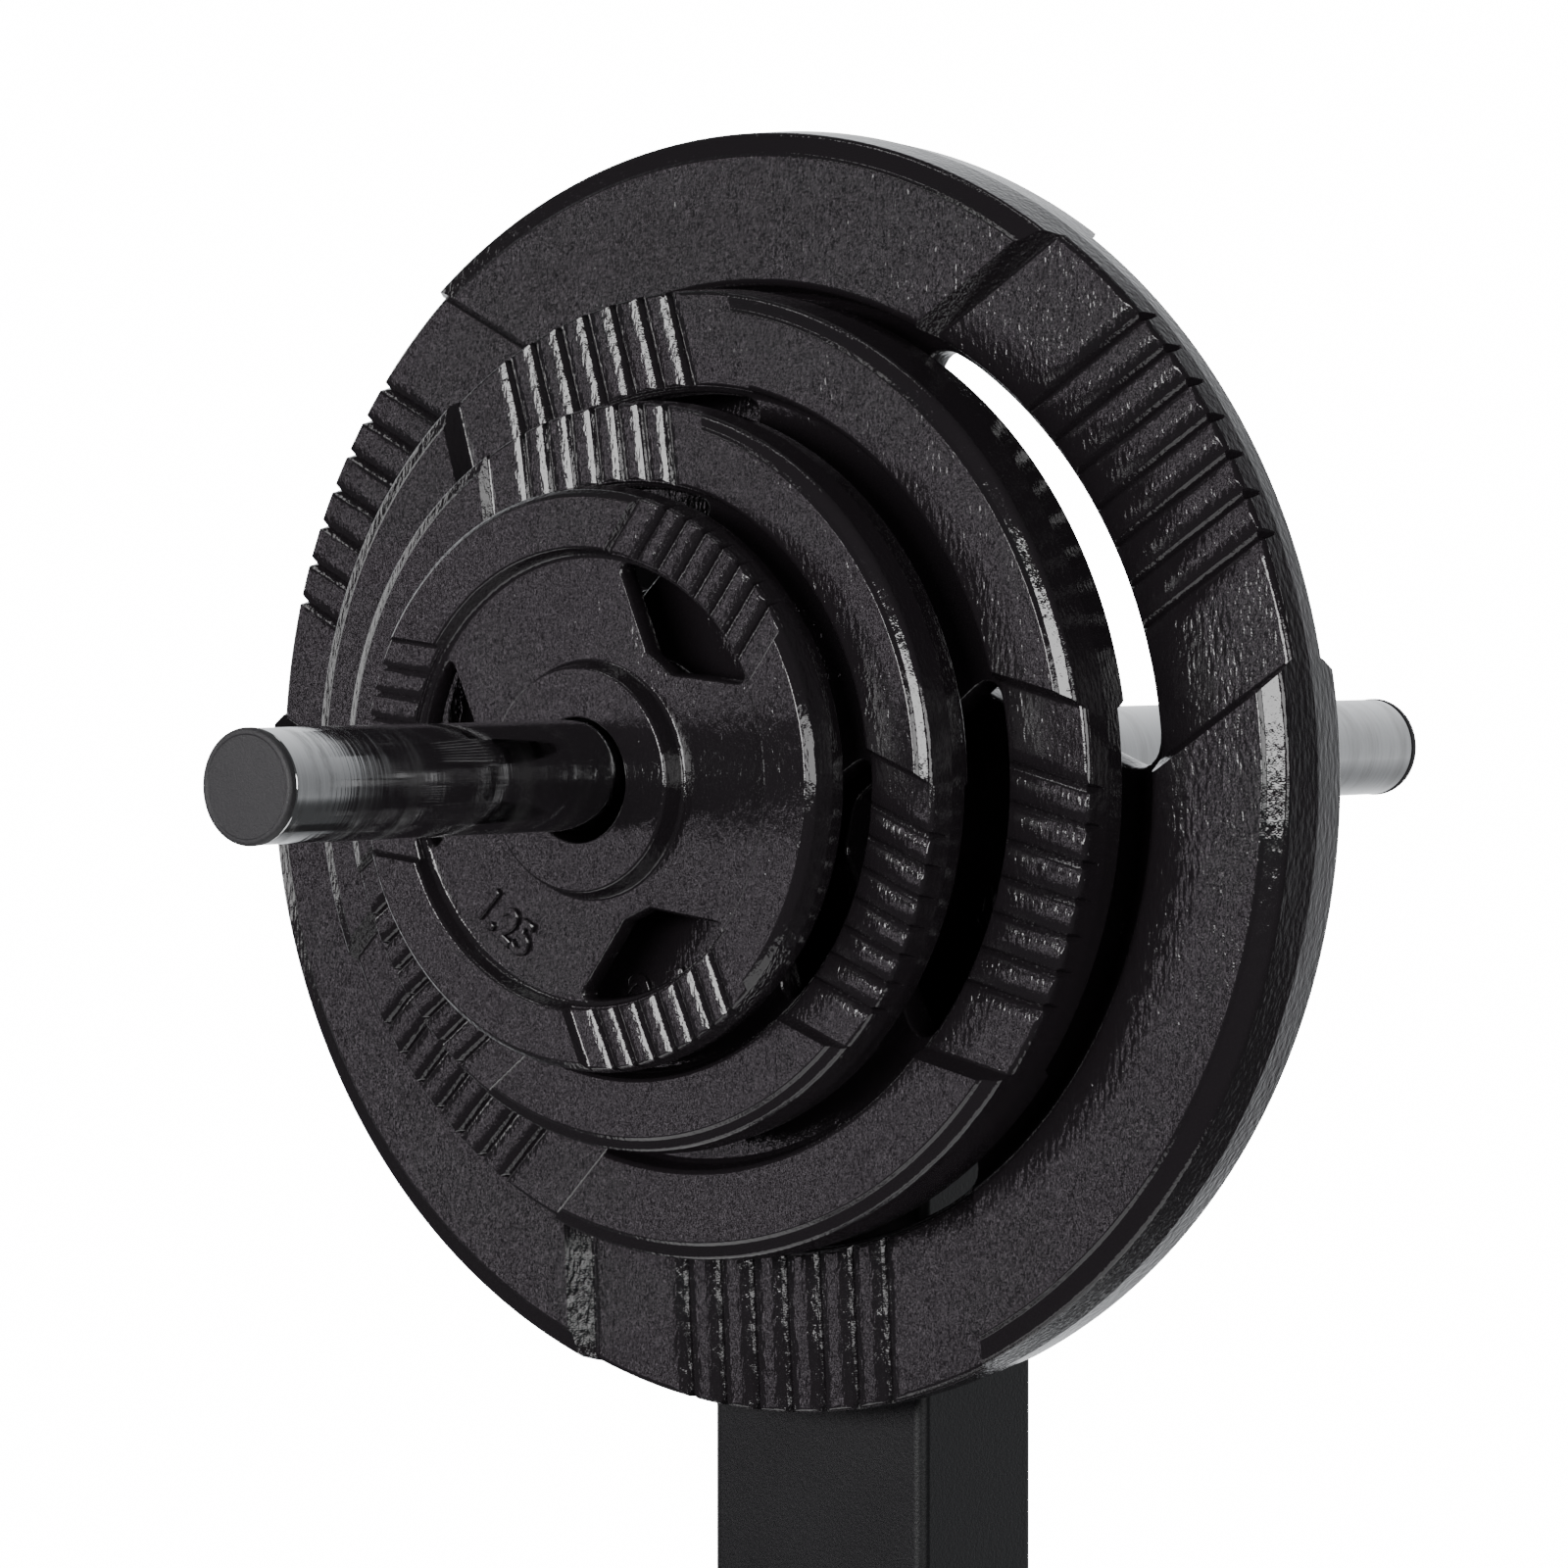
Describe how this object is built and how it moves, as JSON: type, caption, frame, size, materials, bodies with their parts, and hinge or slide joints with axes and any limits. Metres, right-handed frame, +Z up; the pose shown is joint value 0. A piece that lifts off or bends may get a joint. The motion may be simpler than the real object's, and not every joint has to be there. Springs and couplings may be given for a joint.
{
  "type": "weight plate tree",
  "caption": "Upright rack on an H-shaped base with through-pegs at three levels; cast-iron plates of stepped sizes hang on one end of the top peg and slide off.",
  "frame": {"origin": "on the floor, midway between the two foot tubes, below the middle of the post", "axes": "+Z up; the pegs lie along Y with the loaded end pointing to -Y; +X to the right as seen from the loaded end"},
  "size_m": [0.5, 0.5734, 1.1763],
  "materials": {
    "powder_coat": "satin black powder coat on welded steel tube, fine texture",
    "chrome": "polished chrome on steel tube, lightly scuffed round by plate bores",
    "peg_cap": "fine-grained matte black plastic",
    "plug": "moulded matte black plastic",
    "cast_iron": "glossy black enamel over rough-cast iron, orange-peel texture",
    "rubber": "matte black rubber",
    "fastener": "black zinc plated steel"
  },
  "bodies": {
    "tree": {"base_beam": "powder_coat", "base_bolt_front_left": "fastener", "base_bolt_front_right": "fastener", "base_bolt_rear_left": "fastener", "base_bolt_rear_right": "fastener", "base_nut_front_left": "fastener", "base_nut_front_right": "fastener", "base_nut_rear_left": "fastener", "base_nut_rear_right": "fastener", "beam_end_plate_front": "powder_coat", "beam_end_plate_rear": "powder_coat", "foot_bolt_front_left": "fastener", "foot_bolt_front_right": "fastener", "foot_bolt_rear_left": "fastener", "foot_bolt_rear_right": "fastener", "foot_nut_front_left": "fastener", "foot_nut_front_right": "fastener", "foot_nut_rear_left": "fastener", "foot_nut_rear_right": "fastener", "foot_tube_front": "powder_coat", "foot_tube_plug_front_left": "plug", "foot_tube_plug_front_right": "plug", "foot_tube_plug_rear_left": "plug", "foot_tube_plug_rear_right": "plug", "foot_tube_rear": "powder_coat", "peg_cap_front_lower": "peg_cap", "peg_cap_front_middle": "peg_cap", "peg_cap_front_top": "peg_cap", "peg_cap_rear_lower": "peg_cap", "peg_cap_rear_middle": "peg_cap", "peg_cap_rear_top": "peg_cap", "peg_lock_bolt_lower": "fastener", "peg_lock_bolt_middle": "fastener", "peg_lock_bolt_top": "fastener", "peg_lock_nut_lower": "fastener", "peg_lock_nut_middle": "fastener", "peg_lock_nut_top": "fastener", "peg_lower": "chrome", "peg_middle": "chrome", "peg_top": "chrome", "post": "powder_coat", "post_foot_plate": "powder_coat", "post_gusset_front": "powder_coat", "post_gusset_rear": "powder_coat", "post_top_cap": "plug", "rubber_foot_front_left": "rubber", "rubber_foot_front_right": "rubber", "rubber_foot_rear_left": "rubber", "rubber_foot_rear_right": "rubber"},
    "plate_10kg": {"plate_10kg": "cast_iron"},
    "plate_5kg": {"plate_5kg": "cast_iron"},
    "plate_2_5kg": {"plate_2_5kg": "cast_iron"},
    "plate_1_25kg": {"plate_1_25kg": "cast_iron"}
  },
  "joints": [
    {"name": "plate_10kg_slide", "type": "slide", "parent": "tree", "child": "plate_10kg", "axis": [0, -1, 0], "range_m": [0, 0.24]},
    {"name": "plate_5kg_slide", "type": "slide", "parent": "plate_10kg", "child": "plate_5kg", "axis": [0, -1, 0], "range_m": [0, 0.21]},
    {"name": "plate_2_5kg_slide", "type": "slide", "parent": "plate_5kg", "child": "plate_2_5kg", "axis": [0, -1, 0], "range_m": [0, 0.18]},
    {"name": "plate_1_25kg_slide", "type": "slide", "parent": "plate_2_5kg", "child": "plate_1_25kg", "axis": [0, -1, 0], "range_m": [0, 0.155]}
  ]
}
